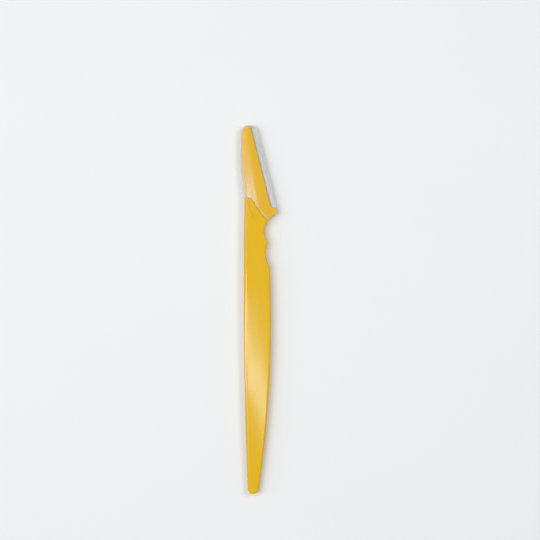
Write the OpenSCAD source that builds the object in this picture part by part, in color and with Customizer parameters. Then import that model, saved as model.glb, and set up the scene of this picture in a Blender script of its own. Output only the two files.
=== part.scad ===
// Eyebrow razor: a moulded handle whose thin head holds a steel blade and its comb guard,
// under a clear cap that pulls off past the tip. It lies flat, with the tip towards +Y and
// the cutting edge towards +X. Z is 0 on the surface that it rests on. Millimetres.

/* [Whole razor] */
// Length from the tail to the tip of the cap
overall_len = 156; // [140:1:175]
// Width across the capped head, from the bulge of its back to the beak
overall_w = 15.3; // [14.6:0.1:16]

/* [Grip] */
// Greatest width of the grip
grip_w = 11.4; // [10.8:0.1:12.4]
// Thickness of the grip, face to face
grip_t = 4.4; // [4.2:0.1:5.4]
// Thickness where the round end of the tail begins
tail_t = 2.4; // [1.8:0.1:3.4]
// Length of the round end of the tail
tail_round = 2.3; // [1.6:0.1:3.2]
// Width where the round end of the tail begins
tail_w = 4.6; // [4:0.1:5.6]
// Length over which the faces thin towards the tail
taper_len = 66; // [45:1:75]
// Distance from the tip to the widest point of the grip
belly_from_tip = 83.9; // [78:0.1:90]
// Distance from the tip to the outermost point of the grip's back
back_from_tip = 69.8; // [64:0.1:76]
// Distance that the back of the grip lies inside the bulge of the capped head
back_set = 1.3; // [1:0.1:1.8]
// Distance by which the back turns in towards the tail
back_turn = 1.7; // [1:0.1:2.4]
// Rounding of the edges along the back
back_round = 1.3; // [0.8:0.1:1.8]
// Rounding of the edges along the belly
belly_round = 0.6; // [0.3:0.1:1.2]

/* [Finger rests] */
// Distance from the tip to the deepest point of the finger notch
notch_from_tip = 45.2; // [44:0.1:46.4]
// Radius of the finger notch
notch_r = 8; // [7:0.1:9]
// Width that the notch leaves
notch_waist = 8.6; // [7.6:0.1:9]
// Distance from the finger notch to the second rest behind it
rest_pitch = 8.8; // [7.6:0.1:10]
// Radius of the second rest
rest_r = 11; // [9:0.1:14]
// Width that the second rest leaves
rest_waist = 9.2; // [8.6:0.1:9.8]
// Slope of the thumb facet that runs down to the head, in degrees
facet_slope = 2.5; // [1:0.1:3.4]

/* [Head] */
// Thickness of the thin head that the cap covers
head_t = 2.4; // [2:0.05:2.6]
// Angle between the blade and the razor's length, in degrees
blade_angle = 14.4; // [13.6:0.1:15]
// Distance from the tip to the top of the beak
beak_from_tip = 34; // [33:0.1:35]
// Distance from the tip to the widest point of the head's back
bulge_from_tip = 10; // [8:0.5:13]
// Radius of the curve of the head's back
bulge_r = 147; // [130:1:200]
// Half of the width of the round tip
tip_half_w = 3.2; // [2.9:0.1:3.6]
// Length of the round tip
tip_len = 4.5; // [3.6:0.1:5.4]
// Distance from the tip to the step between the grip and the head, along the back
step_from_tip = 30.8; // [29:0.1:32]
// Reach of the step across the grip
step_w = 10.4; // [9.8:0.1:11]
// Fall of the step towards the tail, from the back to the notch
step_h = 9.7; // [9:0.1:10.4]
// Slope of the bevel along the back of the head, in degrees
bevel_slope = 4; // [3:0.1:4.5]

/* [Blade and guard] */
// Length of the blade along its back
blade_len = 35.2; // [30:0.1:35.4]
// Height of the blade from its back to its edge
blade_h = 4.4; // [4:0.1:4.6]
// Thickness of the blade
blade_t = 0.3; // [0.2:0.05:0.4]
// Height of the ground bevels at the edge
grind_h = 0.9; // [0.6:0.05:1.2]
// Thickness of the sheet of the comb guard
guard_t = 0.15; // [0.1:0.01:0.2]
// Distance between two teeth of the comb
tooth_pitch = 0.8; // [0.6:0.05:1.2]
// Width of the gap between two teeth
tooth_gap = 0.35; // [0.2:0.05:0.5]
// Depth of the gap between two teeth
tooth_depth = 0.75; // [0.5:0.05:1]
// Width of the steel that the window leaves bare
steel_show = 2; // [1.8:0.1:2.4]
// Radius of the blade's and the guard's blunt corners
corner_r = 1.4; // [0.8:0.1:1.6]
// Radius of the moulded stakes that hold the blade
stake_r = 0.55; // [0.4:0.05:0.65]
// Distance from the edge to the stakes
stake_in = 3; // [2.9:0.1:3.2]
// Number of stakes
stakes = 3; // [2:1:4]

/* [Cap] */
// Wall of the cap
cap_wall = 0.4; // [0.35:0.05:0.5]
// Room between the cap and the faces of the head
cap_gap = 0.15; // [0.1:0.01:0.2]
// Room between the cap and the outline of the head
side_gap = 0.15; // [0.12:0.01:0.25]
// Room between the cap and the edge of the guard
edge_gap = 0.2; // [0.16:0.01:0.3]
// Gap between the beak and the lower end of the cap's side wall
beak_gap = 0.15; // [0.1:0.01:0.3]
// Gap between the cap's rim and the step
rim_gap = 0.18; // [0.12:0.01:0.3]
// Width of the raised bead along the rim
bead_w = 1; // [0.6:0.1:1.4]
// Height of the bead above the cap's faces
bead_h = 0.1; // [0.05:0.01:0.12]
// Direction in which the cap pulls off, in degrees from the razor's length
pull_angle = 6.5; // [6.2:0.1:7]

/* [Hidden] */
$fn = 96;

// Overrun of every cut past the surface that it opens
cut = 1;
// Room between the steel parts and the slot that holds them
slot_gap = 0.03;
// Room between the blade and each leaf of its guard
leaf_gap = 0.01;
// Room around each stake
stake_gap = 0.08;
// Depth by which the head's notch surface lies inside the grip's
notch_shy = 0.08;
// Depth by which the side of the beak lies inside the cap's outline
beak_shy = 0.1;
// Rounding of the cap's edges along its back, and along its cutting side and its tip
cap_back_round = 0.7;
cap_round = 0.5;
// Softness of the corners of the head's outline at the beak and at the tip
outline_round = 0.7;
// Least distance between a crease and a rounded edge
fold_room = 0.08;
// Fillet in the corner of the blade's window
window_fillet = 1.4;
// Softness of the ridge between the two finger rests
ridge_round = 0.35;
// Depth by which the edges of the bead are sunk in the cap's faces
bead_sink = 0.06;
// Crush ribs inside the cap: width, length, distance apart and distance from the crease
rib_w = 0.4;
rib_len = 12;
rib_pitch = 2.6;
rib_set = 1;
// Distance by which the second rib starts nearer to the tail
rib_drop = 2;
// Room between the ribs and the head
rib_room = 0.06;
// Slope of the tip's top edge towards the blade, in degrees
tip_slope = 15;
// Angle of the thumb facet's crease to the razor's length, in degrees
facet_angle = 27.4;
// Turn of the head's crease as a share of the blade's and the pull's angles together
crease_turn_share = 1 / 3;
// Places of the two creases as shares of the step's reach and fall
crease_share = 0.5;
facet_share = 0.18;
facet_fall_share = 0.3;
// Control points of the step's curve, as shares of its reach and its fall
step_shares = [[0.17, 0], [0.42, 0], [0.46, -0.66], [1, -1]];
// Direction in which the cap's rim stands off the step, in degrees
off_angle = 52;
// Points along the step's curve
step_count = 18;
// Shares of a section's width and half thickness that one rounded edge may take
round_share = 0.4;
depth_share = 0.92;
// Shares of the two rests' radii that their finely cut stretches reach
rest_reach_share = 0.7;
notch_reach_share = 0.45;
// Steps of a section's rounded edge along the back, and along the other side
back_steps = 5;
side_steps = 3;
// Counts of the sections along the grip's body, its belly and its rests, and the head
body_count = 9;
belly_count = 5;
rest_count = 28;
head_count = 22;
// Angles of the sections round the ends of the tail and of the tip
end_steps = [12, 24, 36, 48, 60, 72];

mid_z = grip_t / 2;
tip_y = overall_len / 2;
tail_y = tail_round - overall_len / 2;
half_w = overall_w / 2;
notch_y = tip_y - notch_from_tip;
rest_y = notch_y - rest_pitch;
widest_y = tip_y - belly_from_tip;
back_y = tip_y - back_from_tip;
beak_y = tip_y - beak_from_tip;
bulge_y = tip_y - bulge_from_tip;
step_y = tip_y - step_from_tip;
tip_x = tip_half_w - half_w;
tip_base_y = tip_y - tip_len;
head_inset = cap_wall + side_gap;
slot_t = blade_t + 2 * (leaf_gap + guard_t + slot_gap);
edge_x = -(cap_wall + edge_gap);
window_x = edge_x - steel_show;
blade_foot = -corner_r / 2;
far = overall_len;
// Share of a full round that the two ends reach before their flat middle
end_share = sin(end_steps[len(end_steps) - 1]);

// Radius of the arc that turns in by a depth over a run
function arc_r(run, depth) = (run * run + depth * depth) / (2 * depth);

// How far an arc of radius r has turned in at y, from its outermost point at y0
function arc_in(y, y0, r) = abs(y - y0) >= r ? far : r - sqrt(r * r - (y - y0) * (y - y0));

// How far a rounded edge of radius r lies below its face at a distance in from the side
function round_fall(in, r) = r - sqrt(r * r - pow(r - max(min(in, r), 0), 2));

// The smaller of two values, blended over a width k where they are close
function soft_min(a, b, k) = min(a, b) - pow(max(k - abs(a - b), 0), 2) / (4 * k);

// A point on the cubic curve with four control points
function bezier(p, t) = p[0] * pow(1 - t, 3) + p[1] * 3 * t * pow(1 - t, 2)
    + p[2] * 3 * t * t * (1 - t) + p[3] * pow(t, 3);

// Edges of the grip at height y along the razor
back_r = arc_r(back_y - tail_y, back_turn);
function back_x(y) = back_set - half_w + arc_in(y, back_y, back_r);
belly_top = back_x(widest_y) + grip_w;
belly_r = arc_r(widest_y - tail_y, belly_top - back_x(tail_y) - tail_w);
function notch_x(y) = back_x(notch_y) + notch_waist + arc_in(y, notch_y, notch_r);
function rest_x(y) = back_x(rest_y) + rest_waist + arc_in(y, rest_y, rest_r);
function belly_x(y) = belly_top - arc_in(y, widest_y, belly_r);
function grip_right(y) = y > notch_y
    ? min(notch_x(y), half_w - head_inset)
    : soft_min(soft_min(belly_x(y), rest_x(y), ridge_round), notch_x(y), ridge_round);

// Edges of the capped head, or of what lies inside it by the given insets
function head_left(y, inset) = y < tip_base_y
    ? inset - half_w + arc_in(y, bulge_y, bulge_r)
    : max(inset - half_w + arc_in(y, bulge_y, bulge_r),
        tip_x - (tip_half_w - inset)
            * sqrt(max(1 - pow((y - tip_base_y) / (tip_len - inset) * end_share, 2), 0)));
function head_right(y, inset, beak_inset) = soft_min(
    soft_min(half_w - beak_inset,
        half_w - inset / cos(blade_angle) - (y - beak_y) * tan(blade_angle), outline_round),
    tip_x + (tip_y - inset - y) / tan(tip_slope), outline_round);

// The curve of the step, as points from the back to the notch
step_corner = [back_x(step_y), step_y];
step_frame = [for (s = step_shares) step_corner + [s[0] * step_w, s[1] * step_h]];
step_line = [for (i = [0 : step_count]) bezier(step_frame, i / step_count)];

// One half of a section over its left edge, its crease and its right edge
function top_half(left, right, h, left_r, right_r, crease, slope, n, m) =
    let (
        w = right - left,
        a = min(left_r, w * round_share),
        b = min(right_r, w * round_share),
        az = min(left_r, h * depth_share),
        bz = min(right_r, h * depth_share),
        room = min(fold_room, (w - a - b) / 3),
        fold = min(max(crease, left + a + room), right - b - room)
    )
    [
        for (i = [0 : n]) let (x = left + a * (1 - cos(90 * i / n)))
            [x, h - az + az * sin(90 * i / n) - max(fold - x, 0) * tan(slope)],
        [fold, h],
        for (i = [0 : m]) [right - b + b * sin(90 * i / m), h - bz + bz * cos(90 * i / m)]
    ];

// A whole section as a ring of points in space at height y
function ring(y, half) = [
    for (p = half) [p[0], y, p[1]],
    for (i = [len(half) - 1 : -1 : 0]) [half[i][0], y, -half[i][1]]
];

// A solid through rings that all have as many points
module loft(rings) {
    n = len(rings[0]);
    last = len(rings) - 1;
    polyhedron(
        points = [for (r = rings) each r],
        faces = [
            for (j = [0 : last - 1], i = [0 : n - 1]) let (k = (i + 1) % n)
                each [[j * n + i, (j + 1) * n + k, j * n + k],
                    [j * n + i, (j + 1) * n + i, (j + 1) * n + k]],
            for (i = [1 : n - 2]) [0, i, i + 1],
            for (i = [1 : n - 2]) [last * n, last * n + i + 1, last * n + i]
        ],
        convexity = 6);
}

// Heights at which the grip is cut into sections: the tail's round end, the long body
// and the finger rests
rest_low_y = rest_y - rest_r * rest_reach_share;
grip_ys = concat(
    [for (i = [len(end_steps) - 1 : -1 : 0]) tail_y - tail_round * sin(end_steps[i]) / end_share],
    [for (i = [0 : body_count]) tail_y + (widest_y - tail_y) * i / body_count],
    [for (i = [1 : belly_count]) widest_y + (rest_low_y - widest_y) * i / belly_count],
    [for (i = [1 : rest_count]) rest_low_y + (beak_y - rest_low_y) * i / rest_count],
    [(beak_y + step_y + cut) / 2, step_y + cut]);

// Share of its full width that a section of the round tail has
function tail_share(y) = y >= tail_y
    ? 1
    : cos(asin((tail_y - y) / tail_round * end_share));

// How far a section near the tail's end lies below the face, as its edge turns over
function tail_fall(y) = round_fall(y + overall_len / 2, tail_t / 2 * depth_share);

// Half thickness of the grip at height y
function grip_half(y) = let (s = min(max(tail_y + taper_len - y, 0) / taper_len, 1))
    (grip_t - (grip_t - tail_t) * s * s) / 2;

function grip_ring(y) =
    let (
        at = max(y, tail_y),
        middle = (back_x(at) + grip_right(at)) / 2,
        reach = (grip_right(at) - back_x(at)) / 2 * tail_share(y)
    )
    ring(y, top_half(middle - reach, middle + reach, grip_half(at) - tail_fall(y),
        back_round, belly_round, middle, 0, back_steps, side_steps));

// Everything on the tip's side of the step's curve, moved off it by a gap
off_step = [cos(off_angle), sin(off_angle)];
module past_step(gap) {
    line = [for (p = step_line) p + gap * off_step];
    translate([0, 0, -far / 2])
        linear_extrude(height = far)
            polygon(concat(
                [[-far, line[0][1]]], line,
                [[far, line[step_count][1]], [far, far], [-far, far]]));
}

// What the finger notch takes away
module notch_cut(r) {
    translate([notch_x(notch_y) + notch_r, notch_y, -far / 2])
        cylinder(r = r, h = far);
}

// Removes what rises above a plane through a crease, on both faces
module crease_cut(place, turn, slope, side, h) {
    for (face = [0, 1])
        mirror([0, 0, face])
            translate([place[0], place[1], h])
                rotate([0, 0, turn])
                    rotate([0, side * slope, 0])
                        translate([side > 0 ? 0 : -far, -far / 2, 0])
                            cube([far, far, grip_t]);
}

crease_foot = [step_corner[0] + crease_share * step_w, step_y];
crease_angle = (pull_angle + blade_angle) * crease_turn_share;
facet_foot = [step_corner[0] + facet_share * step_w, step_y - facet_fall_share * step_h];

// The frame of the blade: +X out of the edge, +Y along it, from the beak's top
module at_blade() {
    translate([half_w, beak_y, 0])
        rotate([0, 0, blade_angle])
            children();
}

// Places of the stakes along the blade
stake_x = edge_x - stake_in;
stake_ys = [for (i = [0 : stakes - 1]) blade_foot + blade_len * (i + 0.5) / stakes];

// The grip, up to the step
module grip() {
    difference() {
        loft([for (y = grip_ys) grip_ring(y)]);
        past_step(0);
        crease_cut(facet_foot, facet_angle, facet_slope, 1, mid_z);
    }
}

// Heights along the head, close together where its outline turns
head_low_y = notch_y + notch_r * notch_reach_share;
function head_ys(inset) = let (top = tip_y - inset) concat(
    [for (i = [0 : head_count]) head_low_y + (tip_base_y - head_low_y) * i / head_count],
    [for (a = end_steps) tip_base_y + (top - tip_base_y) * sin(a) / end_share]);

// Outline of the head or of the room inside the cap
module head_outline(inset, beak_inset) {
    ys = head_ys(inset);
    polygon(concat(
        [for (y = ys) [head_left(y, inset), y]],
        [for (i = [len(ys) - 1 : -1 : 0]) [head_right(ys[i], inset, beak_inset), ys[i]]]));
}

// A flat solid with the head's outline and its bevel along the back
module head_slab(inset, beak_inset, h) {
    difference() {
        translate([0, 0, -h])
            linear_extrude(height = 2 * h)
                head_outline(inset, beak_inset);
        crease_cut(crease_foot, crease_angle, bevel_slope, -1, h);
    }
}

// The blade's window: what the head leaves open beside the exposed steel
module window_cut() {
    corner = [for (a = [0 : 15 : 90])
        [window_fillet * (1 - cos(a)), window_fillet * (1 - sin(a))]];
    at_blade()
        translate([window_x, blade_foot - slot_gap, -head_t])
            linear_extrude(height = 2 * head_t)
                polygon(concat(corner, [[far, 0], [far, far], [0, far]]));
}

// The thin head with the slot for the steel and the stakes that cross it
module head() {
    difference() {
        head_slab(head_inset, beak_shy, head_t / 2);
        notch_cut(notch_r + notch_shy);
        window_cut();
        at_blade()
            translate([edge_x - blade_h - slot_gap, blade_foot - slot_gap, -slot_t / 2])
                cube([far, blade_len + 2 * slot_gap, slot_t]);
    }
    at_blade()
        for (y = stake_ys)
            translate([stake_x, y, -slot_t])
                cylinder(r = stake_r, h = 2 * slot_t);
}

module handle() {
    color([0.91, 0.73, 0.16])
        translate([0, 0, mid_z])
            union() {
                grip();
                head();
            }
}

// What cuts the stake holes and rounds both corners of the edge
module steel_cuts(inset) {
    for (y = stake_ys)
        translate([stake_x, y, -grip_t])
            cylinder(r = stake_r + stake_gap, h = 2 * grip_t);
    for (end = [0, 1])
        translate([edge_x - corner_r, blade_foot + blade_len / 2, -grip_t])
            mirror([0, end, 0])
                translate([0, blade_len / 2 - corner_r, 0])
                    linear_extrude(height = 2 * grip_t)
                        difference() {
                            square(corner_r + cut);
                            circle(r = corner_r - inset);
                        }
}

// What the slope of the tip takes off the upper end of the steel
module tip_cut() {
    translate([tip_x, tip_y - cap_wall - edge_gap, -grip_t])
        rotate([0, 0, -tip_slope])
            translate([-far / 2, 0, 0])
                cube([far, far, 2 * grip_t]);
}

// Extrudes a section across the blade along its whole length
module along_blade() {
    translate([0, blade_foot + blade_len, 0])
        rotate([90, 0, 0])
            linear_extrude(height = blade_len)
                children();
}

blade_inset = guard_t + leaf_gap;
module blade() {
    back = edge_x - blade_h;
    edge = edge_x - blade_inset;
    color([0.72, 0.73, 0.75])
        translate([0, 0, mid_z])
            difference() {
                at_blade()
                    difference() {
                        along_blade()
                            polygon([
                                [back, -blade_t / 2], [edge - grind_h, -blade_t / 2], [edge, 0],
                                [edge - grind_h, blade_t / 2], [back, blade_t / 2]]);
                        steel_cuts(blade_inset);
                    }
                tip_cut();
            }
}

// The sheet folded over the edge, with its teeth cut through the fold
guard_in = blade_t / 2 + leaf_gap;
guard_out = guard_in + guard_t;
tooth_run = blade_len - 2 * corner_r;
tooth_count = floor((tooth_run + tooth_pitch - tooth_gap) / tooth_pitch);
module comb_guard() {
    back = edge_x - blade_h;
    fold = edge_x - guard_out;
    first = blade_foot + (blade_len - (tooth_count - 1) * tooth_pitch - tooth_gap) / 2;
    color([0.82, 0.83, 0.85])
        translate([0, 0, mid_z])
            difference() {
                at_blade()
                    difference() {
                        along_blade()
                            difference() {
                                union() {
                                    translate([fold, 0])
                                        circle(r = guard_out);
                                    translate([back, -guard_out])
                                        square([fold - back, 2 * guard_out]);
                                }
                                translate([fold, 0])
                                    circle(r = guard_in);
                                translate([back - cut, -guard_in])
                                    square([fold - back + cut, 2 * guard_in]);
                            }
                        steel_cuts(0);
                        for (i = [0 : tooth_count - 1])
                            translate([edge_x - tooth_depth, first + i * tooth_pitch, -grip_t])
                                cube([tooth_depth + cut, tooth_gap, 2 * grip_t]);
                    }
                tip_cut();
            }
}

// The crease at which the bevel along the back of the head begins
function crease_x(y) = crease_foot[0] - (y - step_y) * tan(crease_angle);

// The outer form of the capped head, with rounded edges
function cap_ring(y, h, inset) =
    let (
        left = head_left(y, inset),
        right = head_right(y, inset, inset),
        fall = round_fall(tip_y - inset - y, cap_round)
    )
    ring(y, top_half(left, right, h - fall,
        cap_back_round, cap_round, crease_x(y), bevel_slope, back_steps, side_steps));

module head_form(h, inset) {
    loft([for (y = head_ys(inset)) cap_ring(y, h, inset)]);
}

// Height of the capped head's face at a point, for a half thickness h
function face_z(x, y, h) = h
    - max(crease_x(y) - x, 0) * tan(bevel_slope)
    - round_fall(x - head_left(y, 0), cap_back_round)
    - round_fall(head_right(y, 0, 0) - x, cap_round);

// Section of the raised bead: half an ellipse whose foot is sunk in the wall
function bead_ring(p, h) = [
    for (a = [180 : -30 : 0])
        let (q = p + off_step * bead_w / 2 * (1 - cos(a)))
        [q[0], q[1], face_z(q[0], q[1], h) - bead_sink + (bead_h + bead_sink) * sin(a)],
    for (r = [0, bead_w])
        let (q = p + off_step * r)
        [q[0], q[1], face_z(q[0], q[1], h) - cap_wall / 2]
];

// The raised bead along the rim, on both faces
module rim_bead(h) {
    for (face = [0, 1])
        mirror([0, 0, face])
            loft([for (p = step_line) bead_ring(p + rim_gap * off_step, h)]);
}

// Ribs inside the cap's faces, which grip the head
module crush_ribs(h) {
    for (face = [0, 1], i = [0, 1])
        mirror([0, 0, face])
            translate([crease_foot[0] + rib_set + rib_pitch * i, step_y - rib_drop * i, 0])
                rotate([0, 0, pull_angle])
                    translate([0, 0, h + rib_room - cap_gap])
                        cube([rib_w, rib_len, cap_gap - rib_room + cap_wall / 2]);
}

// What leaves the cap open beside the beak, up to the foot of the blade's window
module beak_opening(h) {
    at_blade()
        translate([window_x, blade_foot - far, -h])
            cube([far, far - slot_gap + beak_gap, 2 * h]);
}

module cap() {
    room = head_t / 2 + cap_gap;
    outer = room + cap_wall;
    color([0.9, 0.92, 0.9, 0.35])
        translate([0, 0, mid_z]) {
            difference() {
                union() {
                    intersection() {
                        head_form(outer, 0);
                        past_step(rim_gap);
                    }
                    rim_bead(outer);
                }
                notch_cut(notch_r);
                head_slab(cap_wall, cap_wall, room);
                beak_opening(room);
            }
            crush_ribs(room);
        }
}

handle();
blade();
comb_guard();
cap();
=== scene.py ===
"""An eyebrow razor with its clear cap on, lying on a pale floor and seen from straight above.

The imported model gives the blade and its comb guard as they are. The handle and the cap are
modelled again here with finer surfaces. Lengths are millimetres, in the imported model's frame:
+Y towards the tip, +X towards the cutting edge, Z up. Finished pieces are turned into metres.
"""

import math

import bmesh
import bpy
import numpy as np
from mathutils import Matrix, Vector


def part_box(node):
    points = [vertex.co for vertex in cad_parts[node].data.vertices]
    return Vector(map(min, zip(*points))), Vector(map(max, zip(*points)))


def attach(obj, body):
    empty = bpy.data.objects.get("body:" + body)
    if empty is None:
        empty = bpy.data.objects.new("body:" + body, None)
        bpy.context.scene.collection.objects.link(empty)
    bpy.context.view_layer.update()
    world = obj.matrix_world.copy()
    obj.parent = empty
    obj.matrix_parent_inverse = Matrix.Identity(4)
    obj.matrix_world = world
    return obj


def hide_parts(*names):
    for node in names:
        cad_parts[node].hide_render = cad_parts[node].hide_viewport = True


MM = 0.001

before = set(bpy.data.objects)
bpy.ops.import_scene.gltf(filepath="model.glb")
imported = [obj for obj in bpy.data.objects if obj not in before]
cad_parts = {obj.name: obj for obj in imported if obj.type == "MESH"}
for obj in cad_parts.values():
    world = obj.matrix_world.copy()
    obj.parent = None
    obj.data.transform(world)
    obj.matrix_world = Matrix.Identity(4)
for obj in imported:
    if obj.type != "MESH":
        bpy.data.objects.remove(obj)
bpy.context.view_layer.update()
cap_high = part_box("cap")[1] / MM
handle_low, handle_high = (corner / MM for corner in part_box("handle"))

# Whole razor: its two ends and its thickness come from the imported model
TIP_Y = cap_high.y
TAIL_END_Y = handle_low.y
HALF_W = 7.65
GRIP_T = handle_high.z
MID_Z = GRIP_T / 2

# Grip
GRIP_W = 11.4
TAIL_T = 2.4
TAIL_ROUND = 2.3
TAIL_W = 4.6
TAPER_LEN = 66
WIDEST_Y = TIP_Y - 83.9
BACK_Y = TIP_Y - 69.8
BACK_SET = 1.3
BACK_TURN = 1.7
BACK_ROUND = 1.3
BELLY_ROUND = 0.6
# The most of the half thickness that an edge round takes up
ROUND_SHARE = 0.92
TAIL_Y = TAIL_END_Y + TAIL_ROUND

# Finger rests and the thumb facet
NOTCH_Y = TIP_Y - 45.2
NOTCH_R = 8
NOTCH_WAIST = 8.6
NOTCH_SHY = 0.08
REST_Y = NOTCH_Y - 8.8
REST_R = 11
REST_WAIST = 9.2
RIDGE_ROUND = 0.35
FACET_SLOPE = math.radians(2.5)
FACET_SOFT = 0.2
# The facet's crease, as distances from the step's corner, and how far its curve runs on as shares
FACET_CURVE = ((2.05, -2.4), (3.4, -8.3), (7.3, -13.8))
FACET_REACH = (-0.3, 1.2)
# Depth and width of the groove along the crease
GROOVE_DEPTH = 0.035
GROOVE_W = 0.3

# Head, and the step where the grip ends
HEAD_T = 2.4
HEAD_INSET = 0.38
BEAK_SHY = 0.1
HEAD_EDGE_ROUND = 0.12
BLADE_ANGLE = math.radians(14.4)
PULL_ANGLE = math.radians(6.5)
BEAK_Y = TIP_Y - 34
BEAK_H = 2
BULGE_Y = TIP_Y - 10
BULGE_R = 147
TIP_HALF_W = 3.2
TIP_LEN = 4.5
TIP_BASE_Y = TIP_Y - TIP_LEN
TIP_X = TIP_HALF_W - HALF_W
TIP_SLOPE = math.radians(15)
TIP_ARC = math.radians(72)
TIP_END_SHARE = math.sin(TIP_ARC)
# How much X counts against Y in finding the corner where the cap's tip meets its cutting side
TIP_CORNER_LEAN = 0.6
OUTLINE_ROUND = 0.7
# Where the head's outline starts and ends inside the grip, beside the notch
ROOT_SHARE = 0.45
ROOT_ANGLE = math.radians(160)
STEP_Y = TIP_Y - 30.8
STEP_W = 10.4
STEP_H = 9.7
STEP_SHARES = ((0.17, 0), (0.42, 0), (0.46, -0.66), (1, -1))
STEP_REACH = 1.2
STEP_OFF_ANGLE = math.radians(52)
STEP_OFF = Vector((math.cos(STEP_OFF_ANGLE), math.sin(STEP_OFF_ANGLE)))
STEP_EDGE_ROUND = 0.12
BEVEL_SLOPE = math.radians(4)
BEVEL_SOFT = 0.3
BEVEL_FOOT_SHARE = 0.5
BEVEL_ANGLE = (PULL_ANGLE + BLADE_ANGLE) / 3

# Blade, guard and what holds them, in the blade's own frame
BLADE_LEN = 35.2
BLADE_H = 4.4
SLOT_T = 0.68
SLOT_GAP = 0.03
EDGE_X = -0.6
WINDOW_X = EDGE_X - 2
WINDOW_FILLET = 1.4
BLADE_FOOT = -0.7
STAKE_R = 0.55
STAKE_X = EDGE_X - 3
STAKE_SINK = 0.2
STAKES = 3

# Cap
CAP_WALL = 0.4
CAP_SIDE_WALL = 0.3
CAP_GAP = 0.15
CAP_ROOM = HEAD_T / 2 + CAP_GAP
CAP_HALF_T = CAP_ROOM + CAP_WALL
CAP_BACK_ROUND = 0.7
CAP_ROUND = 0.5
CAP_LIP_ROUND = 0.15
RIM_GAP = 0.06
BEAK_GAP = 0.15
BEAD_W = 1
BEAD_H = 0.1
RIB_W = 0.4
RIB_LEN = 12
RIB_PITCH = 2.6
RIB_SET = 1
RIB_DROP = 2
RIB_ROOM = 0.06
RIBS_A_FACE = 2

# Columns of a grid that lie on the curve of one edge round
EDGE_COLUMNS = 9
# Faces that meet at less than this are shaded as one surface
SMOOTH_ANGLE = math.radians(32)

# A reach beyond the whole razor
FAR = 100
# Distances that count as none, in plan and between a mesh's points, and a guard for divisions
TOUCH = 0.01
MERGE = 1e-5
TINY = 1e-12


def mix(a, b, share):
    """The point between a and b at a share of the way."""
    return a + (b - a) * share


def arc_radius(run, depth):
    """Radius of the arc that turns in by a depth over a run."""
    return (run * run + depth * depth) / (2 * depth)


def arc_in(y, y0, r):
    """How far an arc of radius r has turned in at y, from its outermost point at y0."""
    rise = abs(y - y0)
    return FAR if rise >= r else r - math.sqrt(r * r - rise * rise)


def soft_min(a, b, width):
    """The smaller of two values, blended where they are close."""
    return min(a, b) - max(width - abs(a - b), 0) ** 2 / (4 * width)


def soft_positive(value, width):
    """A value where it is above zero, with the corner at zero blended."""
    return -soft_min(-value, 0, width)


def ramp(values, start, end, least=0, most=1):
    """How far values have come from start to end, held between two shares."""
    return np.clip((values - start) / (end - start), least, most)


def arc(centre, radius, start, end, points=24):
    """Points on an arc in plan, without its first one."""
    turns = np.linspace(start, end, points)[1:]
    return [centre + radius * Vector((math.cos(a), math.sin(a))) for a in turns]


def turn_to(centre, point):
    """The angle at which a point lies around a centre."""
    return math.atan2(point[1] - centre.y, point[0] - centre.x)


# Edges of the grip
BACK_R = arc_radius(BACK_Y - TAIL_Y, BACK_TURN)


def back_x(y):
    """The grip's back."""
    return BACK_SET - HALF_W + arc_in(y, BACK_Y, BACK_R)


BELLY_TOP = back_x(WIDEST_Y) + GRIP_W
BELLY_R = arc_radius(WIDEST_Y - TAIL_Y, BELLY_TOP - back_x(TAIL_Y) - TAIL_W)
NOTCH_CENTRE = Vector((back_x(NOTCH_Y) + NOTCH_WAIST + NOTCH_R, NOTCH_Y))


def notch_x(y):
    """The bottom of the finger notch."""
    return NOTCH_CENTRE.x - NOTCH_R + arc_in(y, NOTCH_Y, NOTCH_R)


def belly_x(y):
    """The grip's cutting side: its belly, the second rest and the finger notch."""
    if y > NOTCH_Y:
        return notch_x(y)
    belly = BELLY_TOP - arc_in(y, WIDEST_Y, BELLY_R)
    rest = back_x(REST_Y) + REST_WAIST + arc_in(y, REST_Y, REST_R)
    return soft_min(soft_min(belly, rest, RIDGE_ROUND), notch_x(y), RIDGE_ROUND)


# Edges of the capped head, or of what lies inside it by an inset
def head_left(y, inset):
    side = inset - HALF_W + arc_in(y, BULGE_Y, BULGE_R)
    if y < TIP_BASE_Y:
        return side
    share = (y - TIP_BASE_Y) / (TIP_LEN - inset) * TIP_END_SHARE
    return max(side, TIP_X - (TIP_HALF_W - inset) * math.sqrt(max(1 - share * share, 0)))


def head_right(y, inset, beak_inset):
    edge = HALF_W - inset / math.cos(BLADE_ANGLE) - (y - BEAK_Y) * math.tan(BLADE_ANGLE)
    top = TIP_X + (TIP_Y - inset - y) / math.tan(TIP_SLOPE)
    return soft_min(soft_min(HALF_W - beak_inset, edge, OUTLINE_ROUND), top, OUTLINE_ROUND)


STEP_CORNER = Vector((back_x(STEP_Y), STEP_Y))
STEP_SPAN = Vector((STEP_W, STEP_H))
STEP_FRAME = [STEP_CORNER + Vector(share) * STEP_SPAN for share in STEP_SHARES]
BEVEL_FOOT = STEP_CORNER + Vector((BEVEL_FOOT_SHARE * STEP_W, 0))


def step_point(share, off=0):
    """A point on the step's curve, moved off it towards the tip."""
    a, b, c, d = STEP_FRAME
    rest = 1 - share
    bend = a * rest**3 + b * 3 * share * rest**2 + c * 3 * share**2 * rest + d * share**3
    return bend + STEP_OFF * off


def at_blade(x, y):
    """A point of the blade's frame: x out of the edge, y along it from the beak's top."""
    return Vector((HALF_W, BEAK_Y)) + Matrix.Rotation(BLADE_ANGLE, 2) @ Vector((x, y))


def in_blade(point):
    """The same frame the other way: where a point lies against the blade."""
    return Matrix.Rotation(-BLADE_ANGLE, 2) @ (point - Vector((HALF_W, BEAK_Y)))


def steps(low, high, spacing):
    """Evenly spaced values from low to high, both ends included."""
    return np.linspace(low, high, max(2, round(abs(high - low) / spacing) + 1))


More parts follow.
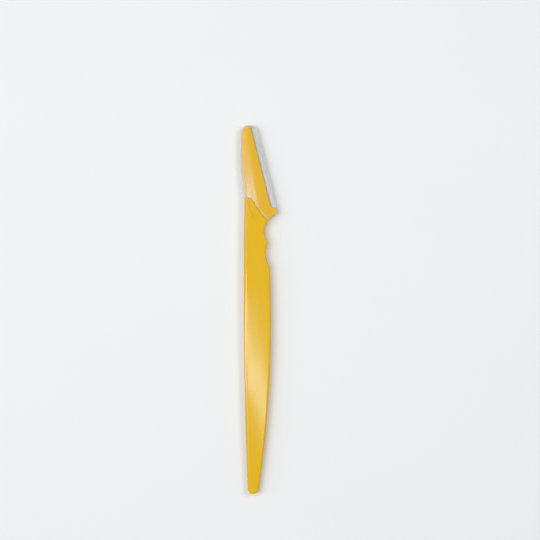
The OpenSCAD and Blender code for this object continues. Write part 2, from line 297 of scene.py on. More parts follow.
class Path:
    """A run of points in plan, read by the share of its length, with an edge round along it."""

    def __init__(self, points, edge_round=0.0):
        self.points = np.array([tuple(p) for p in points], float)
        self.edge_round = np.broadcast_to(edge_round, len(self.points)).astype(float)
        runs = np.linalg.norm(np.diff(self.points, axis=0), axis=1)
        self.reach = np.concatenate(([0], np.cumsum(runs)))

    def at(self, shares):
        """Points at shares of the path's length."""
        along = np.asarray(shares) * self.reach[-1]
        return np.stack([np.interp(along, self.reach, axis) for axis in self.points.T], -1)

    def nearest(self, spots):
        """Distance in plan from each spot to the path, and the edge round there."""
        least = np.full(len(spots), float(FAR))
        found = np.zeros(len(spots))
        ends = zip(self.points, np.diff(self.points, axis=0), self.edge_round, self.edge_round[1:])
        for start, run, round_a, round_b in ends:
            along = np.clip((spots - start) @ run / max(run @ run, TINY), 0, 1)
            away = np.linalg.norm(spots - start - along[:, None] * run, axis=1)
            nearer = away < least
            least[nearer] = away[nearer]
            found[nearer] = mix(round_a, round_b, along[nearer])
        return least, found

    def edge_fall(self, spots, depth):
        """How far a rounded edge lies below its face at each spot."""
        away, edge_round = self.nearest(spots)
        inside = ramp(away, np.maximum(edge_round, TINY), 0)
        return np.minimum(edge_round, depth) * (1 - np.sqrt(1 - inside**2))


def step_path(off, left_x, right_x, edge_round):
    """The step's curve from the back to the cutting side, moved off it towards the tip."""
    curve = [step_point(share, off) for share in np.linspace(0, STEP_REACH, 121)]
    start = Vector((left_x(curve[0].y), curve[0].y))
    inside = [p for p in curve if p.x < right_x(p.y)]
    beyond = curve[len(inside)]
    last = inside[-1]
    gap_a = right_x(last.y) - last.x
    gap_b = beyond.x - right_x(beyond.y)
    end = mix(last, beyond, gap_a / (gap_a + gap_b))
    end.x = right_x(end.y)
    flat = [Vector((x, start.y)) for x in steps(start.x, curve[0].x, spacing=0.2)[:-1]]
    return Path([*flat, *inside, end], edge_round)


def facet_path():
    """The curved crease of the thumb facet, from beside the step's corner to the notch."""
    a, b, c = (STEP_CORNER + Vector(away) for away in FACET_CURVE)
    return Path([mix(mix(a, b, t), mix(b, c, t), t) for t in np.linspace(*FACET_REACH, 61)])


def facet_run(spots):
    """Distance from each spot to the facet's crease, above zero on the facet."""
    crease = facet_path()
    away, _ = crease.nearest(spots)
    beside = np.interp(-spots[:, 1], -crease.points[:, 1], crease.points[:, 0], right=FAR)
    return np.where(spots[:, 0] > beside, away, -away)


def eased(count):
    """Shares from 0 to 1 that lie close together near both ends."""
    return (1 - np.cos(np.linspace(0, math.pi, count + 1))) / 2


def shares_to_rounds(width, left_round, right_round, columns):
    """Shares of one row's width, with EDGE_COLUMNS of them on the curve of each edge round."""
    turn = 1 - np.cos(np.linspace(0, math.pi / 2, EDGE_COLUMNS + 1))
    left = left_round / width * turn
    right = 1 - right_round / width * turn[::-1]
    middle = np.linspace(left[-1], right[0], columns - 2 * EDGE_COLUMNS + 1)
    return np.concatenate((left[:-1], middle, right[1:]))


def blended_grid(bottom, top, left, right, rounds, rows, columns):
    """A grid in plan whose four sides follow four paths, as a bmesh still lying at height 0."""
    low_left, low_right = bottom.at(0), bottom.at(1)
    top_left, top_right = top.at(0), top.at(1)
    bm = bmesh.new()
    bmesh.ops.create_grid(bm, x_segments=columns, y_segments=rows, size=0.5)
    spots = np.array([tuple(v.co) for v in bm.verts]) + 0.5
    row = np.rint(spots[:, 1] * rows).astype(int)
    column = np.rint(spots[:, 0] * columns).astype(int)
    along = eased(rows)[row]
    widths = np.linalg.norm(right.at(eased(rows)) - left.at(eased(rows)), axis=1)
    across = np.array([shares_to_rounds(width, *rounds, columns) for width in widths])[row, column]
    u, v = across[:, None], along[:, None]
    sides = mix(left.at(along), right.at(along), u)
    ends = mix(bottom.at(across), top.at(across), v)
    corners = mix(mix(low_left, low_right, u), mix(top_left, top_right, u), v)
    plan = sides + ends - corners
    for vert, spot in zip(bm.verts, plan):
        vert.co = (spot[0], spot[1], 0)
    return bm, plan


def close_both_faces(bm):
    """Turns one face's skin into a solid: walls down to the middle, then the mirrored half."""
    rim = [edge for edge in bm.edges if edge.is_boundary]
    walls = bmesh.ops.extrude_edge_only(bm, edges=rim)["geom"]
    for vert in (item for item in walls if isinstance(item, bmesh.types.BMVert)):
        vert.co.z = 0
    bmesh.ops.mirror(bm, geom=bm.verts[:] + bm.edges[:] + bm.faces[:], axis="Z",
                     merge_dist=MERGE)
    bmesh.ops.recalc_face_normals(bm, faces=bm.faces)


def to_object(bm, name):
    """A bmesh as an object, still in millimetres around the middle of the thickness."""
    mesh = bpy.data.meshes.new(name)
    bm.to_mesh(mesh)
    bm.free()
    piece = bpy.data.objects.new(name, mesh)
    bpy.context.scene.collection.objects.link(piece)
    return piece


def combine(piece, others, operation):
    """Joins or cuts a piece by others, bakes the result and removes them."""
    for other in others:
        tool = piece.modifiers.new("join", "BOOLEAN")
        tool.operation = operation
        tool.solver = "MANIFOLD"
        tool.object = other
    bpy.context.view_layer.update()
    graph = bpy.context.evaluated_depsgraph_get()
    made = bpy.data.meshes.new_from_object(piece.evaluated_get(graph))
    piece.modifiers.clear()
    plain, piece.data = piece.data, made
    bpy.data.meshes.remove(plain)
    for other in others:
        bpy.data.objects.remove(other)


def finish_piece(piece, material, body, node):
    mesh = piece.data
    mesh.transform(Matrix.Scale(MM, 4) @ Matrix.Translation((0, 0, MID_Z)))
    mesh.shade_smooth()
    mesh.set_sharp_from_angle(angle=SMOOTH_ANGLE)
    mesh.materials.clear()
    mesh.materials.append(material)
    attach(piece, body)
    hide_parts(node)


def grip():
    """The grip as one skin from the round tail to the step, closed on both faces."""
    bottom_left = Vector((back_x(TAIL_Y), TAIL_Y))
    bottom_right = Vector((belly_x(TAIL_Y), TAIL_Y))
    middle = mix(bottom_left, bottom_right, 0.5)
    half_tail = (bottom_right.x - bottom_left.x) / 2
    turns = np.linspace(0, math.pi, 61)
    tail = [middle + Vector((-half_tail * math.cos(a), -TAIL_ROUND * math.sin(a))) for a in turns]
    step = step_path(0, back_x, belly_x, STEP_EDGE_ROUND)
    left = [Vector((back_x(y), y)) for y in steps(TAIL_Y, STEP_Y, spacing=1)]
    right = [Vector((belly_x(y), y))
             for y in steps(TAIL_Y, step.points[-1][1], spacing=0.15)]
    bm, plan = blended_grid(Path(tail), step, Path(left), Path(right),
                            (BACK_ROUND, BELLY_ROUND), rows=260, columns=64)

    rounds = [BACK_ROUND] * len(left) + list(np.linspace(BACK_ROUND, BELLY_ROUND, len(tail) - 2))
    rounds += [BELLY_ROUND] * len(right)
    outline = Path([*reversed(left), *tail[1:-1], *right], rounds)
    thin = ramp(plan[:, 1], TAIL_Y + TAPER_LEN, TAIL_Y)
    half = (GRIP_T - (GRIP_T - TAIL_T) * thin**2) / 2
    runs = facet_run(plan)
    facet = np.array([soft_positive(run, FACET_SOFT) for run in runs]) * math.tan(FACET_SLOPE)
    groove = GROOVE_DEPTH * np.exp(-(runs / GROOVE_W) ** 2)
    edge = outline.edge_fall(plan, half * ROUND_SHARE)
    rim = step.edge_fall(plan, STEP_EDGE_ROUND)
    height = half - np.maximum(facet, 0) - groove - np.maximum(edge, rim)
    for vert, z in zip(bm.verts, height):
        vert.co.z = z
    close_both_faces(bm)
    return to_object(bm, "moulded_handle")


def bevel_drop(x, y):
    """How far the long bevel beside the head's back lies below the flat face."""
    crease = BEVEL_FOOT.x - (y - STEP_Y) * math.tan(BEVEL_ANGLE)
    return soft_positive(crease - x, BEVEL_SOFT) * math.tan(BEVEL_SLOPE)


def plate(outline, half_t, edge_round):
    """A flat piece with a given outline, eased edges and the head's long bevel on both faces."""
    bm = bmesh.new()
    face = bm.faces.new([bm.verts.new((p[0], p[1], -half_t)) for p in outline])
    raised = bmesh.ops.extrude_face_region(bm, geom=[face])["geom"]
    lifted = [item for item in raised if isinstance(item, bmesh.types.BMVert)]
    bmesh.ops.translate(bm, verts=lifted, vec=(0, 0, 2 * half_t))
    bmesh.ops.recalc_face_normals(bm, faces=bm.faces)
    if edge_round:
        rims = [e for e in bm.edges if abs(e.verts[0].co.z - e.verts[1].co.z) < half_t]
        bmesh.ops.bevel(bm, geom=rims, offset=edge_round, segments=3, profile=0.5,
                        affect="EDGES", material=-1, clamp_overlap=True)
    along = Vector((-math.sin(BEVEL_ANGLE), math.cos(BEVEL_ANGLE), 0))
    for aside in (BEVEL_SOFT / 2, 0, -BEVEL_SOFT / 2):
        foot = Vector((*BEVEL_FOOT, 0)) + Vector((aside, 0, 0))
        bmesh.ops.bisect_plane(bm, geom=bm.verts[:] + bm.edges[:] + bm.faces[:], dist=MERGE,
                               plane_co=foot, plane_no=along.cross(Vector((0, 0, 1))))
    for vert in bm.verts:
        vert.co.z -= math.copysign(max(bevel_drop(vert.co.x, vert.co.y), 0), vert.co.z)
    return bm


def head_outline(inset, beak_inset):
    """The capped head's outline, or one that lies inside it, from the grip round the tip."""
    low_y = NOTCH_Y + NOTCH_R * ROOT_SHARE
    turns = np.linspace(0, TIP_ARC, 19)[1:]
    tip_ys = TIP_BASE_Y + (TIP_LEN - inset) * np.sin(turns) / TIP_END_SHARE
    left_ys = [*steps(low_y, TIP_BASE_Y, spacing=0.6), *tip_ys]
    right_ys = [*reversed(tip_ys), *steps(TIP_BASE_Y, low_y, spacing=0.3)[1:]]
    left = [(head_left(y, inset), y) for y in left_ys]
    right = [(head_right(y, inset, beak_inset), y) for y in right_ys]
    return left, right


def box(low, high, turn=0.0, place=(0, 0)):
    """A plain cutter or rib with square corners, turned in plan about its own origin."""
    bm = bmesh.new()
    size = Vector(high) - Vector(low)
    bmesh.ops.create_cube(bm, size=1)
    bmesh.ops.transform(bm, verts=bm.verts, matrix=(
        Matrix.Translation((*place, 0)) @ Matrix.Rotation(turn, 4, "Z")
        @ Matrix.Translation((Vector(low) + Vector(high)) / 2) @ Matrix.Diagonal((*size, 1))))
    return bm


def head():
    """The thin head: its window, its slot for the steel and the stakes that cross it."""
    left, right = head_outline(HEAD_INSET, BEAK_SHY)
    foot = BLADE_FOOT - SLOT_GAP
    above = [p for p in right if in_blade(Vector(p)).x < WINDOW_X and p[1] > BEAK_Y]
    ends = Vector(above[-1]), Vector(right[len(above)])
    reach, passed = (in_blade(end).x for end in ends)
    above.append(mix(*ends, (WINDOW_X - reach) / (passed - reach)))
    below = [p for p in right if in_blade(Vector(p)).y < foot]
    turns = np.radians(np.linspace(0, 90, 10))
    corner = [at_blade(WINDOW_X + WINDOW_FILLET * (1 - math.cos(a)),
                       foot + WINDOW_FILLET * (1 - math.sin(a))) for a in turns]
    shy = NOTCH_R + NOTCH_SHY
    below = [p for p in below if (Vector(p) - NOTCH_CENTRE).length > shy]
    notch = arc(NOTCH_CENTRE, shy, turn_to(NOTCH_CENTRE, below[-1]), ROOT_ANGLE)
    outline = [*left, *above, *corner, *below, *notch]
    plain = to_object(plate(outline, HEAD_T / 2, HEAD_EDGE_ROUND), "head")
    slot_low = (EDGE_X - BLADE_H - SLOT_GAP, foot, -SLOT_T / 2)
    slot_high = (FAR, foot + BLADE_LEN + 2 * SLOT_GAP, SLOT_T / 2)
    slot = to_object(box(slot_low, slot_high, BLADE_ANGLE, (HALF_W, BEAK_Y)), "slot")
    combine(plain, [slot], "DIFFERENCE")
    stakes = []
    for i in range(STAKES):
        middle = at_blade(STAKE_X, BLADE_FOOT + BLADE_LEN * (i + 0.5) / STAKES)
        bm = bmesh.new()
        bmesh.ops.create_cone(bm, cap_ends=True, segments=32, radius1=STAKE_R, radius2=STAKE_R,
                              depth=SLOT_T + 2 * STAKE_SINK,
                              matrix=Matrix.Translation((*middle, 0)))
        stakes.append(to_object(bm, "stake"))
    combine(plain, stakes, "UNION")
    return plain


def make_handle(material):
    """The handle: grip and head as one moulding."""
    handle = grip()
    combine(handle, [head()], "UNION")
    finish_piece(handle, material, "razor", "handle")
    return handle


def cap_outer():
    """The cap's outside: a skin from the rim to the tip, with the bead along the rim."""
    def left_x(y):
        return head_left(y, 0)

    def right_x(y):
        return min(notch_x(y), HALF_W) if y < BEAK_Y - BEAK_H else head_right(y, 0, 0)

    rim = step_path(RIM_GAP, left_x, right_x, CAP_LIP_ROUND)
    left, right = head_outline(0, 0)
    left_side = [p for p in left if rim.points[0][1] < p[1] < TIP_BASE_Y - TOUCH]
    left_side = [tuple(rim.points[0]), *left_side, (left_x(TIP_BASE_Y), TIP_BASE_Y)]
    corner = max(range(len(right)), key=lambda i: right[i][0] * TIP_CORNER_LEAN + right[i][1])
    tip = [left_side[-1], *[p for p in left if p[1] > TIP_BASE_Y + TOUCH], *right[:corner + 1]]
    beak = [Vector(p) for p in right[corner:] if (Vector(p) - NOTCH_CENTRE).length > NOTCH_R]
    start, end = (turn_to(NOTCH_CENTRE, p) for p in (beak[-1], rim.points[-1]))
    notch = arc(NOTCH_CENTRE, NOTCH_R, start, end)
    right_side = [*reversed(notch), *reversed(beak)]
    bm, plan = blended_grid(rim, Path(tip), Path(left_side), Path(right_side),
                            (CAP_BACK_ROUND, CAP_ROUND), rows=116, columns=52)

    turn_in = list(np.linspace(CAP_BACK_ROUND, CAP_ROUND, len(tip) - 1))
    rounds = [CAP_BACK_ROUND] * len(left_side) + turn_in + [CAP_ROUND] * (len(beak) - 1)
    rounds += [CAP_LIP_ROUND] * len(notch)
    outline = Path([*left_side, *tip[1:], *reversed(right_side[:-1])], rounds)
    off_rim, _ = rim.nearest(plan)
    arch = np.clip(1 - (2 * off_rim / BEAD_W - 1) ** 2, 0, 1)
    bead = BEAD_H * np.sqrt(arch)
    drop = np.array([bevel_drop(x, y) for x, y in plan])
    edge = outline.edge_fall(plan, CAP_HALF_T)
    lip = rim.edge_fall(plan, CAP_LIP_ROUND)
    height = CAP_HALF_T + bead - np.maximum(drop, 0) - np.maximum(edge, lip)
    for vert, z in zip(bm.verts, height):
        vert.co.z = z
    close_both_faces(bm)
    return to_object(bm, "moulded_cap")


def cap_room():
    """The space inside the cap, which runs out past its rim and out beside the beak."""
    left, right = head_outline(CAP_SIDE_WALL, CAP_SIDE_WALL)
    room = to_object(plate([*left, *right], CAP_ROOM, 0), "room")
    low = (WINDOW_X, BLADE_FOOT - FAR, -CAP_ROOM)
    high = (FAR, BLADE_FOOT - SLOT_GAP + BEAK_GAP, CAP_ROOM)
    return [room, to_object(box(low, high, BLADE_ANGLE, (HALF_W, BEAK_Y)), "beak_opening")]


def crush_ribs():
    """The ribs inside both faces of the cap, which grip the head."""
    ribs = []
    near, deep = CAP_ROOM + RIB_ROOM - CAP_GAP, CAP_ROOM + CAP_WALL / 2
    for bottom, top in ((-deep, -near), (near, deep)):
        for i in range(RIBS_A_FACE):
            place = BEVEL_FOOT + Vector((RIB_SET + RIB_PITCH * i, -RIB_DROP * i))
            low, high = (0, 0, bottom), (RIB_W, RIB_LEN, top)
            ribs.append(to_object(box(low, high, PULL_ANGLE, place), "rib"))
    return ribs


def make_cap(material):
    """The clear cap, hollow and open at its rim and beside the beak."""
    cap = cap_outer()
    combine(cap, cap_room(), "DIFFERENCE")
    combine(cap, crush_ribs(), "UNION")
    finish_piece(cap, material, "cover", "cap")
    return cap


class Wire:
    """One output in a material, with the sums that its patterns are made of."""

    def __init__(self, tree, socket):
        self.tree = tree
        self.socket = socket

    def sum(self, operation, *values):
        """The output of one Math node."""
        node = self.tree.nodes.new("ShaderNodeMath")
        node.operation = operation
        for entry, value in zip(node.inputs, values):
            if isinstance(value, Wire):
                self.tree.links.new(value.socket, entry)
            else:
                entry.default_value = value
        return Wire(self.tree, node.outputs[0])

    def __add__(self, other):
        return self.sum("ADD", self, other)

    def __sub__(self, other):
        return self.sum("SUBTRACT", self, other)

    def __rsub__(self, other):
        return self.sum("SUBTRACT", other, self)

    def __mul__(self, other):
        return self.sum("MULTIPLY", self, other)

    __radd__ = __add__
    __rmul__ = __mul__

    def held(self):
        """The value, held between 0 and 1."""
        return self.sum("MINIMUM", self.sum("MAXIMUM", self, 0), 1)

    def ramp(self, start, end):
        """How far the value has come from start to end, held between 0 and 1."""
        return ((self - start) * (1 / (end - start))).held()


class Finish:
    """The nodes of one material or of the world."""

    def __init__(self, name=None, tree=None):
        if tree is None:
            self.material = bpy.data.materials.new(name)
            self.material.use_nodes = True
            tree = self.material.node_tree
        self.tree = tree
        self.tree.nodes.clear()

    def node(self, kind, settings=None, sockets=None, output=0):
        """Adds a node, sets it up, then fills its sockets; gives back one of its outputs, if any."""
        made = self.tree.nodes.new(kind)
        for name, value in (settings or {}).items():
            setattr(made, name, value)
        for name, value in (sockets or {}).items():
            entry = made.inputs[name]
            if isinstance(value, Wire):
                self.tree.links.new(value.socket, entry)
            else:
                entry.default_value = value
        return Wire(self.tree, made.outputs[output]) if made.outputs else None

    def place(self, scale=(1, 1, 1), turn=0.0, centre=(0, 0, 0)):
        """Object coordinates, turned, centred and stretched for a pattern."""
        spot = self.node("ShaderNodeTexCoord", output="Object")
        return self.node("ShaderNodeMapping", {"vector_type": "TEXTURE"},
                         {"Vector": spot, "Location": centre, "Rotation": (0, 0, turn),
                          "Scale": [1 / s for s in scale]})

    def noise(self, where, size, detail=2, rough=0.5):
        """Soft grain of about one size in metres, from 0 to 1."""
        return self.node("ShaderNodeTexNoise", None,
                         {"Vector": where, "Scale": 1 / size, "Detail": detail, "Roughness": rough})

    def blend(self, share, a, b):
        """Two colours mixed by a share."""
        return self.node("ShaderNodeMix", {"data_type": "RGBA"},
                         {0: share, 6: a, 7: b}, output=2)

    def attribute(self, name):
        """One of the marks that a piece carries."""
        return self.node("ShaderNodeAttribute", {"attribute_name": name}, output="Fac")

    def bump(self, height, depth, strength):
        """Shading as if the surface rose by a depth in metres."""
        return self.node("ShaderNodeBump", None,
                         {"Height": height, "Distance": depth, "Strength": strength})

    def surface(self, shader):
        """The finished material."""
        self.node("ShaderNodeOutputMaterial", None, {"Surface": shader})
        return self.material


YELLOW = (0.78, 0.45, 0.002, 1)
# Darker yellow for the painted shade along the grip's edges, and for random specks
EDGE_SHADE_AND_SPECK_YELLOW = (0.74, 0.39, 0.002, 1)
PALE_YELLOW = (0.80, 0.47, 0.006, 1)
# Duller yellow for the painted shade in the facet's crease
CREASE_SHADE_YELLOW = (0.66, 0.36, 0.012, 1)
# Between these levels of its noise the yellow turns paler
CLOUD_LEVELS = (0.1875, 0.8125)


def yellow_plastic():
    """Moulded satin plastic: cloudy colour, a fine grain, a slightly uneven gloss, and painted shade
    along its edges and in its facet's crease.
    """
    finish = Finish("yellow_plastic")
    cloud = finish.noise(finish.place(scale=(3, 1, 3)), size=0.03, detail=3)
    speck = finish.noise(finish.place(), size=0.0006)
    grain = finish.noise(finish.place(), size=0.00025, detail=3, rough=0.6)
    waves = finish.noise(finish.place(scale=(1, 0.3, 1)), size=0.004, detail=1)
    edge = finish.attribute("edge")
    crease = finish.attribute("crease")
    colour = finish.blend(cloud.ramp(*CLOUD_LEVELS), YELLOW, PALE_YELLOW)
    # Painted shade in the facet's crease
    colour = finish.blend(crease, colour, CREASE_SHADE_YELLOW)
    # Painted shade along the grip's edges, with random darker specks
    colour = finish.blend((edge * 0.6 + speck * 0.12).held(), colour, EDGE_SHADE_AND_SPECK_YELLOW)
    return finish.surface(finish.node("ShaderNodeBsdfPrincipled", None, {
        "Base Color": colour,
        "Roughness": 0.05 + grain * 0.04 + waves * 0.03,
        "Normal": finish.bump(grain * 0.15 + waves, depth=0.00001, strength=0.6),
        "IOR": 1.5,
        "Specular IOR Level": 0.3}))


BLADE_TONE = (0.6, 0.6, 0.585, 1)
GUARD_TONE = (0.425, 0.42, 0.405, 1)
DARK_SHARE = 0.55
# Painted shadow on the steel where it goes into the head's window
SHADE_W = 0.6
SHADE_SHARE = 0.85
SHADE_COLOUR = (0.2, 0.15, 0.07, 1)


def brushed_steel(name, tone, line_size, roughness):
    """Bright rolled steel with fine lines along the blade, paler towards its edge, with painted
    shade darkening it towards the head's window and a painted shadow where it goes in.
    """
    finish = Finish(name)
    in_frame = finish.place(turn=BLADE_ANGLE, centre=(HALF_W * MM, BEAK_Y * MM, 0))
    across = finish.node("ShaderNodeSeparateXYZ", None, {"Vector": in_frame}, output="X")
    # Painted shade: the steel darkens from its edge towards the head's window
    deep = across.ramp(EDGE_X * MM, WINDOW_X * MM)
    shade = across.ramp((WINDOW_X + SHADE_W) * MM, WINDOW_X * MM)
    along = finish.place(scale=(1, 0.02, 1), turn=BLADE_ANGLE)
    lines = finish.noise(along, line_size, detail=3, rough=0.6)
    cloud = finish.noise(finish.place(), size=0.006)
    dark = (*(DARK_SHARE * c for c in tone[:3]), 1)
    # Fine lines and clouds of darker steel, with the painted shade towards the window
    darkness = (lines * 0.4 + cloud * 0.2 + deep * 0.7 - 0.25).held()
    colour = finish.blend(darkness, tone, dark)
    return finish.surface(finish.node("ShaderNodeBsdfPrincipled", None, {
        # Painted shadow where the steel goes into the head's window
        "Base Color": finish.blend(shade * SHADE_SHARE, colour, SHADE_COLOUR),
        "Metallic": 1,
        "Roughness": roughness + lines * 0.12 + cloud * 0.06,
        "Normal": finish.bump(lines, depth=0.000004, strength=0.5)}))


# Colours painted on the cap's walls for the yellow plastic and the steel seen through them, and the
# two tones of its plain faces
PAINTED_YELLOW_SEEN_THROUGH = (0.9, 0.76, 0.42, 1)
PAINTED_STEEL_SEEN_THROUGH = (0.88, 0.885, 0.88, 1)
CLEAR_TONES = ((0.94, 0.91, 0.83, 1), (0.89, 0.88, 0.83, 1))


def clear_plastic():
    """Clear, slightly hazy plastic that shows best at its edges, its bead and its bevel, with
    painted highlights on the bead and bevel and painted colour of what its walls cover.
    """
    finish = Finish("clear_plastic")
    facing = finish.node("ShaderNodeLayerWeight", None, {"Blend": 0.35}, output="Facing")
    haze = finish.noise(finish.place(scale=(2, 0.5, 1)), size=0.008)
    grain = finish.noise(finish.place(), size=0.0008)
    names = ("edge", "rim", "bevel", "skin", "wall", "beside_steel")
    edge, rim, bevel, skin, wall, beside_steel = (finish.attribute(name) for name in names)
    body = haze * 0.01 + facing * 0.08 + edge * 0.02
    # Painted highlights on the bead and bevel, and the walls' painted colour of what they cover
    highlights_and_walls = rim * 0.19 + wall * (0.42 + beside_steel * 0.13) + bevel * (0.7 + haze * 0.25)
    cover = 0.01 + (body + highlights_and_walls) * skin
    # Painted colour of the yellow plastic or the steel that the walls cover
    beside = finish.blend(beside_steel, PAINTED_YELLOW_SEEN_THROUGH, PAINTED_STEEL_SEEN_THROUGH)
    clear = finish.blend(grain * 0.2, *CLEAR_TONES)
    return finish.surface(finish.node("ShaderNodeBsdfPrincipled", None, {
        "Base Color": finish.blend(wall * 0.8, clear, beside),
        "Roughness": 0.14 + grain * 0.06,
        "Alpha": cover.held(),
        "Normal": finish.bump(haze + grain * 0.1, depth=0.00004, strength=0.4)}))


BACKDROP = (0.86, 0.865, 0.86, 1)
PALE_BOARD = (0.88, 0.885, 0.88, 1)
# Metres from the middle between which the board passes into the background
FLOOR_FADE = (0.25, 0.85)
FLOOR_REACH = 4


def shown_to_view(finish):
    """1 for what is seen straight, in gloss or through clear plastic, and 0 for light."""
    straight = finish.node("ShaderNodeLightPath", output="Is Camera Ray")
    ways = straight.socket.node.outputs
    in_gloss = Wire(finish.tree, ways["Is Glossy Ray"])
    through = Wire(finish.tree, ways["Is Transmission Ray"])
    return (straight + in_gloss + through).held()


def pale_floor():
    """A matt pale board that runs out into the pale background."""
    finish = Finish("pale_floor")
    cloud = finish.noise(finish.place(), size=0.05, detail=3)
    board = finish.node("ShaderNodeBsdfPrincipled", None, {
        "Base Color": finish.blend(cloud, BACKDROP, PALE_BOARD),
        "Roughness": 0.85,
        "Specular IOR Level": 0.2})
    away = finish.node("ShaderNodeVectorMath", {"operation": "LENGTH"},
                       {"Vector": finish.place()}, output="Value")
    far_off = away.ramp(*FLOOR_FADE)
    backdrop = finish.node("ShaderNodeEmission", None, {"Color": BACKDROP, "Strength": 1})
    return finish.surface(finish.node("ShaderNodeMixShader", None, {
        0: far_off * shown_to_view(finish), 1: board, 2: backdrop}))


# Marks on the handle: painted shade as a deeper yellow along its edges, and painted shade in the
# facet's crease
EDGE_SHADE_W = 0.9
EDGE_SHADE_POWER = 1.5
FACET_SHADE = 0.5
FACET_SHADE_W = 0.42
FACET_SHADE_FADE = (STEP_Y - 14, STEP_Y - 5)
FACET_SHADE_LEAST = 0.25
FACET_SHADE_END = STEP_Y - 1

# Marks on the cap's bevel: a painted sheen, and a painted streak of glare, with heights above the
# step's corner
BEVEL_SHEEN = 0.2
BEVEL_SHEEN_FADE = (21, 5)
BEVEL_SHEEN_DROP = 0.06
GLARE = 0.24
GLARE_LEN = 5
GLARE_REST = 0.07
GLARE_FADE = (26, 16)
STREAK_X = -3.9
STREAK_LEAN = 0.105
STREAK_W = 0.75
# The painted highlight on the bead: its strength across it, as shares of its width, and along the
# rim from its left end
BEAD_HIGHLIGHT_FADE = (0.96, 0.16)
BEAD_HIGHLIGHT_START = (-6.5, -4)
BEAD_HIGHLIGHT_LEAST = 0.2
# The walls' painted colour of what lies behind them: its width beside the steel, how it shows by
# height, and its least share
STEEL_MARGIN = 0.85
UPRIGHT = (0.6, 0.9)
WALL_LEAST = 0.3
# What counts as the cap's outside, and how it clears towards the rim
SKIN_DEPTH = 0.05
SKIN_FADE = 0.4
SKIN_LEAST = 0.1
CAP_EDGE_W = 0.8


def mark(piece, name, values):
    """Keeps one number at each point of a piece, for its material."""
    layer = piece.data.attributes.new(name, "FLOAT", "POINT")
    layer.data.foreach_set("value", np.asarray(values, np.float32))


def plan_spots(piece):
    """Where a finished piece's points lie in plan, in millimetres again."""
    return np.array([tuple(v.co) for v in piece.data.vertices])[:, :2] / MM


def mark_handle(handle):
    """Marks painted shade along the edges of the grip's outline and in the crease of its facet."""
    spots = plan_spots(handle)
    near = np.array([min(x - back_x(y), max(belly_x(y), -FAR) - x) if y < STEP_Y else FAR
                     for x, y in spots])
    # Painted shade: a deeper yellow near the grip's edges
    mark(handle, "edge", ramp(near, EDGE_SHADE_W, 0) ** EDGE_SHADE_POWER)
    # Painted shade in the facet's crease, fading towards the notch
    fade = ramp(spots[:, 1], *FACET_SHADE_FADE, FACET_SHADE_LEAST) * (spots[:, 1] < FACET_SHADE_END)
    mark(handle, "crease", FACET_SHADE * fade * np.exp(-(facet_run(spots) / FACET_SHADE_W) ** 2))


def mark_cap(cap):
    """Marks the cap's edges, its walls with painted colour of what they cover, the painted highlight
    on the bead along its rim, the painted sheen and glare on its bevel, and its outside.
    """
    spots = plan_spots(cap)
    rim = step_path(RIM_GAP, lambda y: head_left(y, 0), lambda y: min(notch_x(y), HALF_W), 0)
    off_rim, _ = rim.nearest(spots)
    near = np.array([min(x - head_left(y, 0), head_right(y, 0, 0) - x) for x, y in spots])
    drop = np.maximum([bevel_drop(x, y) for x, y in spots], 0)
    up = spots[:, 1] - STEP_Y
    off_streak = spots[:, 0] - STREAK_X + up * STREAK_LEAN
    # Painted highlights on the bevel: a whitish sheen and a streak of glare
    painted_sheen = BEVEL_SHEEN * ramp(up, *BEVEL_SHEEN_FADE) * ramp(drop, 0, BEVEL_SHEEN_DROP)
    glare = GLARE * np.exp(-np.maximum(up, 0) / GLARE_LEN) + GLARE_REST
    streak = glare * ramp(up, *GLARE_FADE) * np.exp(-(off_streak / STREAK_W) ** 2)
    height = np.abs([v.co.z / MM - MID_Z for v in cap.data.vertices])
    outside = (height + drop > CAP_ROOM + SKIN_DEPTH) | (near < CAP_WALL / 2)
    along_blade = np.array([in_blade(Vector(spot)) for spot in spots])
    beside_steel = (along_blade[:, 1] > BLADE_FOOT) & (along_blade[:, 0] > WINDOW_X)
    margin = np.where(beside_steel, STEEL_MARGIN, HEAD_INSET)
    upright = mix(WALL_LEAST, 1, ramp(height / CAP_HALF_T, *UPRIGHT))
    # Painted highlight along the bead
    bead_highlight = ramp(np.abs(off_rim / BEAD_W - 0.5), *BEAD_HIGHLIGHT_FADE)
    mark(cap, "edge", ramp(near, CAP_EDGE_W, 0))
    # Walls, where the colour of what lies behind them is painted
    mark(cap, "wall", ramp(near, margin, margin / 2) * upright)
    mark(cap, "beside_steel", beside_steel)
    mark(cap, "rim", bead_highlight * ramp(spots[:, 0], *BEAD_HIGHLIGHT_START, BEAD_HIGHLIGHT_LEAST))
    # Painted sheen and glare on the bevel
    mark(cap, "bevel", painted_sheen + streak)
    mark(cap, "skin", outside * ramp(off_rim / BEAD_W, 0, SKIN_FADE, SKIN_LEAST))


WHITE = (1, 1, 1)
WARM_WHITE = (1, 0.98, 0.965)
COOL_WHITE = (0.87, 0.95, 1)
CYAN_WHITE = (0.6, 0.95, 1)
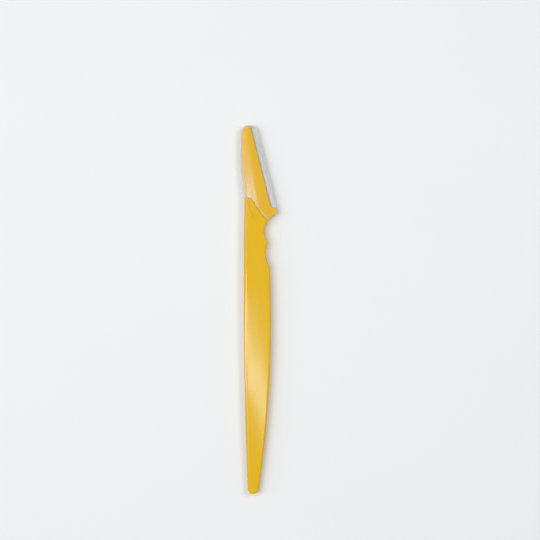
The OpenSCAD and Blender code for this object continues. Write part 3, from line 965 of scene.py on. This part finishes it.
# Name, place, aim and size in metres, turn in degrees, watts and colour of each lamp
LAMPS = (
    ("key", (-0.5, 0.25, 0.8), (0, 0, 0), (0.5, 0.5), 0, 1.7, WARM_WHITE),
    ("fill", (0.62, 0.25, 0.85), (0, 0, 0), (0.4, 0.4), 0, 3.1, WARM_WHITE),
    ("grip_gloss", (-0.0054, -0.0574, 0.45), (-0.0054, -0.0574, 0), (0.0125, 0.12), 18, 0.055,
     CYAN_WHITE),
    ("spine_gloss", (-0.013, -0.035, 0.45), (-0.013, -0.035, 0), (0.006, 0.062), 4, 0.024,
     CYAN_WHITE),
    ("back_gloss", (-0.945, -0.085, 1.125), (-0.006, -0.013, 0), (0.13, 1.95), 0, 8.8, COOL_WHITE),
    ("tail_gloss", (-0.5, -0.165, 1.37), (-0.006, -0.05, 0), (0.2, 0.7), 0, 1.7, COOL_WHITE),
    ("cap_gloss", (-0.063, 0.075, 0.45), (-0.006, 0.055, 0), (0.05, 0.08), 0, 0.05, WHITE),
)
WORLD_LIGHT = (1, 0.98, 0.97, 1)
WORLD_STRENGTH = 0.32


def lamp(name, place, aim, size, turn, power, colour):
    """A soft lamp that lights the razor and isn't seen itself."""
    data = bpy.data.lights.new(name, "AREA")
    data.shape = "RECTANGLE"
    data.size, data.size_y = size
    data.energy = power
    data.color = colour
    light = bpy.data.objects.new(name, data)
    bpy.context.scene.collection.objects.link(light)
    light.location = place
    facing = (Vector(aim) - Vector(place)).to_track_quat("-Z", "Y").to_matrix()
    light.rotation_euler = (facing @ Matrix.Rotation(math.radians(turn), 3, "Z")).to_euler()
    light.visible_camera = False


def set_world():
    """A pale background that gloss and metal show too, and a plain level of light."""
    world = bpy.data.worlds.new("studio")
    world.use_nodes = True
    bpy.context.scene.world = world
    finish = Finish(tree=world.node_tree)
    light = finish.node("ShaderNodeBackground", None,
                        {"Color": WORLD_LIGHT, "Strength": WORLD_STRENGTH})
    pale = finish.node("ShaderNodeBackground", None, {"Color": BACKDROP, "Strength": 1})
    both = finish.node("ShaderNodeMixShader", None, {0: shown_to_view(finish), 1: light, 2: pale})
    finish.node("ShaderNodeOutputWorld", None, {"Surface": both})


def set_floor():
    """The pale board that the razor lies on."""
    bm = bmesh.new()
    bmesh.ops.create_grid(bm, x_segments=1, y_segments=1, size=FLOOR_REACH)
    mesh = bpy.data.meshes.new("floor")
    bm.to_mesh(mesh)
    bm.free()
    mesh.materials.append(pale_floor())
    floor = bpy.data.objects.new("floor", mesh)
    bpy.context.scene.collection.objects.link(floor)


# Camera: straight down over the middle of the photograph, 540 pixels of 0.42414 mm each
PIXELS = 540
MM_PER_PIXEL = 0.42414
PHOTO_MIDDLE = (4.81, 16.75)
CAMERA_HEIGHT = 900
SENSOR = 36
CLIP_NEAR = 0.05
CLIP_FAR = 20


def set_camera():
    """The camera, straight above and square to the razor."""
    data = bpy.data.cameras.new("camera")
    data.sensor_width = SENSOR
    data.lens = SENSOR * CAMERA_HEIGHT / (PIXELS * MM_PER_PIXEL)
    data.clip_start = CLIP_NEAR
    data.clip_end = CLIP_FAR
    camera = bpy.data.objects.new("camera", data)
    camera.location = (PHOTO_MIDDLE[0] * MM, PHOTO_MIDDLE[1] * MM, CAMERA_HEIGHT * MM)
    bpy.context.scene.collection.objects.link(camera)
    bpy.context.scene.camera = camera


def dress_node(node, material):
    """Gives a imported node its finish."""
    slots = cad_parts[node].data.materials
    slots.clear()
    slots.append(material)


mark_handle(make_handle(yellow_plastic()))
mark_cap(make_cap(clear_plastic()))
dress_node("blade", brushed_steel("blade_steel", BLADE_TONE, line_size=0.0002, roughness=0.22))
dress_node("comb_guard",
           brushed_steel("guard_steel", GUARD_TONE, line_size=0.0003, roughness=0.2))
set_floor()
for values in LAMPS:
    lamp(*values)
set_world()
set_camera()
bpy.context.scene.view_settings.view_transform = "Standard"
